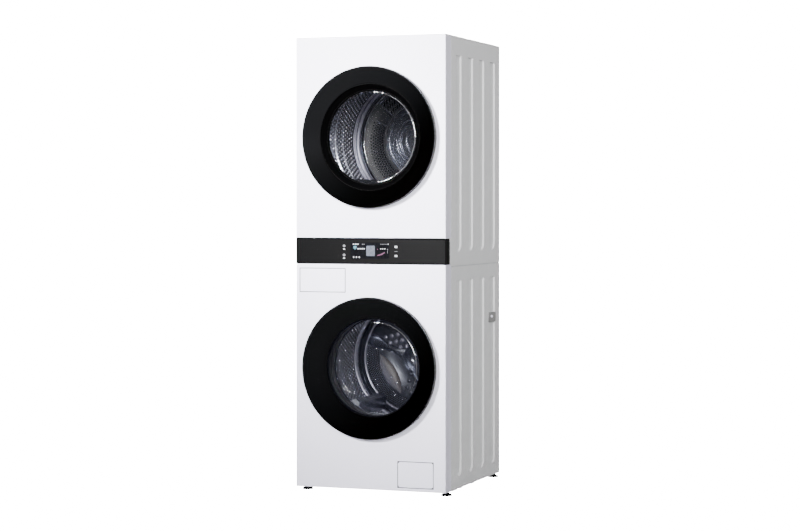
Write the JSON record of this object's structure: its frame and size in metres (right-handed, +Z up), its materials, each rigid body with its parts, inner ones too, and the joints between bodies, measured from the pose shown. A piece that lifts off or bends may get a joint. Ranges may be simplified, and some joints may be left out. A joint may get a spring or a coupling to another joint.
{
  "type": "washer dryer stack",
  "caption": "Tall laundry stack: washer below, dryer above, round dished glass doors, a glass control bar between, and a detergent drawer.",
  "frame": {"origin": "on the floor, under the middle of the stack's overall box", "axes": "+Z up, the doors face -Y, +X to the right as seen from the front"},
  "size_m": [0.666, 0.772, 1.889],
  "materials": {
    "white_steel": "smooth gloss white enamel on sheet steel",
    "white_plastic": "white moulded plastic",
    "galvanised": "galvanised sheet",
    "black_plastic": "black moulded plastic",
    "dark_plastic": "dark grey moulded plastic",
    "grey_plastic": "light grey moulded plastic",
    "tub_plastic": "off-white filled polypropylene",
    "black_glass": "black glossy door ring",
    "panel_glass": "tinted flat control glass, opaque",
    "display": "lit display panel on its board",
    "silver_trim": "silver-grey painted door frame",
    "clear_glass": "clear tempered glass",
    "steel_drum": "stainless drum steel",
    "zinc_steel": "zinc-plated steel",
    "rubber": "grey door seal rubber",
    "black_rubber": "black rubber",
    "concrete": "cast concrete",
    "alloy": "die-cast aluminium",
    "copper_motor": "laminated steel with windings",
    "blue_plastic": "pale translucent drawer plastic"
  },
  "bodies": {
    "cabinet": {"base_pan": "dark_plastic", "washer_left_side": "white_steel", "washer_right_side": "white_steel", "washer_front_panel": "white_steel", "washer_rear_panel": "galvanised", "dryer_left_side": "white_steel", "dryer_right_side": "white_steel", "top_cover": "white_steel", "dryer_front_panel": "white_steel", "dryer_rear_panel": "galvanised", "mid_deck": "galvanised", "control_case": "black_plastic", "control_glass": "panel_glass", "display_module": "display", "side_plates": "grey_plastic", "cabinet_screws": "zinc_steel", "dispenser_housing": "white_plastic", "drain_pump": "dark_plastic", "inlet_valve": "white_plastic", "drain_outlet": "dark_plastic", "door_catches": "dark_plastic", "hinge_brackets": "zinc_steel", "front_bulkhead": "grey_plastic", "rear_bulkhead": "galvanised", "exhaust_duct": "galvanised", "dryer_motor": "copper_motor", "damper_cylinders": "dark_plastic", "drive_belt": "black_rubber"},
    "tub": {"tub_rear": "tub_plastic", "tub_front": "tub_plastic", "front_counterweight": "concrete", "door_gasket": "rubber", "motor_stator": "copper_motor", "damper_rods": "grey_plastic", "tub_springs": "zinc_steel"},
    "washer_drum": {"washer_drum": "steel_drum", "washer_lifters": "steel_drum", "drum_spider": "alloy", "motor_rotor": "galvanised"},
    "drawer": {"drawer_front": "white_plastic", "drawer_tray": "blue_plastic"},
    "filter_flap": {"filter_flap": "white_plastic"},
    "filter_knob": {"filter_knob": "grey_plastic"},
    "foot_left_front": {"foot_left_front": "black_rubber"},
    "foot_right_front": {"foot_right_front": "black_rubber"},
    "foot_left_rear": {"foot_left_rear": "black_rubber"},
    "foot_right_rear": {"foot_right_rear": "black_rubber"},
    "washer_door": {"washer_door_ring": "black_glass", "washer_door_frame": "silver_trim", "washer_door_bowl": "clear_glass"},
    "washer_latch": {"washer_latch_hook": "zinc_steel"},
    "dryer_door": {"dryer_door_ring": "black_glass", "dryer_door_frame": "silver_trim", "dryer_door_window": "clear_glass"},
    "dryer_drum": {"dryer_drum": "steel_drum", "dryer_lifters": "grey_plastic"},
    "roller_left": {"roller_left": "black_rubber"},
    "roller_right": {"roller_right": "black_rubber"},
    "blower": {"blower_wheel": "dark_plastic"},
    "lint_filter": {"lint_filter": "grey_plastic"}
  },
  "joints": [
    {"name": "washer_door_hinge", "type": "hinge", "parent": "cabinet", "child": "washer_door", "pos_m": [-0.285, -0.371, 0.5198], "axis": [0, 0, -1], "range_deg": [0, 110]},
    {"name": "washer_latch_pivot", "type": "hinge", "parent": "washer_door", "child": "washer_latch", "pos_m": [0.279, -0.366, 0.5198], "axis": [0, 0, 1], "range_deg": [-2, 2.5], "stiffness_Nm_per_rad": 0.05},
    {"name": "dryer_door_hinge", "type": "hinge", "parent": "cabinet", "child": "dryer_door", "pos_m": [-0.285, -0.371, 1.4696], "axis": [0, 0, -1], "range_deg": [0, 110]},
    {"name": "drawer_slide", "type": "slide", "parent": "cabinet", "child": "drawer", "axis": [0, -1, 0], "range_m": [0, 0.2]},
    {"name": "filter_flap_hinge", "type": "hinge", "parent": "cabinet", "child": "filter_flap", "pos_m": [0.1985, -0.3556, 0.0395], "axis": [1, 0, 0], "range_deg": [0, 88]},
    {"name": "filter_knob_turn", "type": "hinge", "parent": "cabinet", "child": "filter_knob", "pos_m": [0.198, -0.328, 0.09], "axis": [0, 1, 0], "range_deg": [0, 90]},
    {"name": "tub_travel", "type": "slide", "parent": "cabinet", "child": "tub", "axis": [0, 0, 1], "range_m": [-0.008, 0.008], "stiffness_N_per_m": 24000, "springref_m": 0.0213, "deforming": ["tub_springs"]},
    {"name": "washer_drum_spin", "type": "hinge", "parent": "tub", "child": "washer_drum", "pos_m": [0, 0, 0.5198], "axis": [0, 1, 0], "continuous": true},
    {"name": "dryer_drum_spin", "type": "hinge", "parent": "cabinet", "child": "dryer_drum", "pos_m": [0, 0, 1.4696], "axis": [0, 1, 0], "continuous": true},
    {"name": "roller_left_spin", "type": "hinge", "parent": "cabinet", "child": "roller_left", "pos_m": [-0.17689, 0.202, 1.21697], "axis": [0, 1, 0], "continuous": true},
    {"name": "roller_right_spin", "type": "hinge", "parent": "cabinet", "child": "roller_right", "pos_m": [0.17689, 0.202, 1.21697], "axis": [0, 1, 0], "continuous": true},
    {"name": "blower_spin", "type": "hinge", "parent": "cabinet", "child": "blower", "pos_m": [0.15, 0.09, 1.045], "axis": [0, 1, 0], "continuous": true},
    {"name": "lint_filter_lift", "type": "slide", "parent": "cabinet", "child": "lint_filter", "axis": [0, 0, 1], "range_m": [0, 0.14]},
    {"name": "foot_left_front_turn", "type": "hinge", "parent": "cabinet", "child": "foot_left_front", "pos_m": [-0.307, -0.283, 0], "axis": [0, 0, 1], "range_deg": [0, 360]},
    {"name": "foot_right_front_turn", "type": "hinge", "parent": "cabinet", "child": "foot_right_front", "pos_m": [0.307, -0.283, 0], "axis": [0, 0, 1], "range_deg": [0, 360]},
    {"name": "foot_left_rear_turn", "type": "hinge", "parent": "cabinet", "child": "foot_left_rear", "pos_m": [-0.307, 0.348, 0], "axis": [0, 0, 1], "range_deg": [0, 360]},
    {"name": "foot_right_rear_turn", "type": "hinge", "parent": "cabinet", "child": "foot_right_rear", "pos_m": [0.307, 0.348, 0], "axis": [0, 0, 1], "range_deg": [0, 360]}
  ],
  "couplings": [
    {"joint": "roller_left_spin", "follows": "dryer_drum_spin", "ratio": -10},
    {"joint": "roller_right_spin", "follows": "dryer_drum_spin", "ratio": -10},
    {"joint": "blower_spin", "follows": "dryer_drum_spin", "ratio": 14}
  ]
}
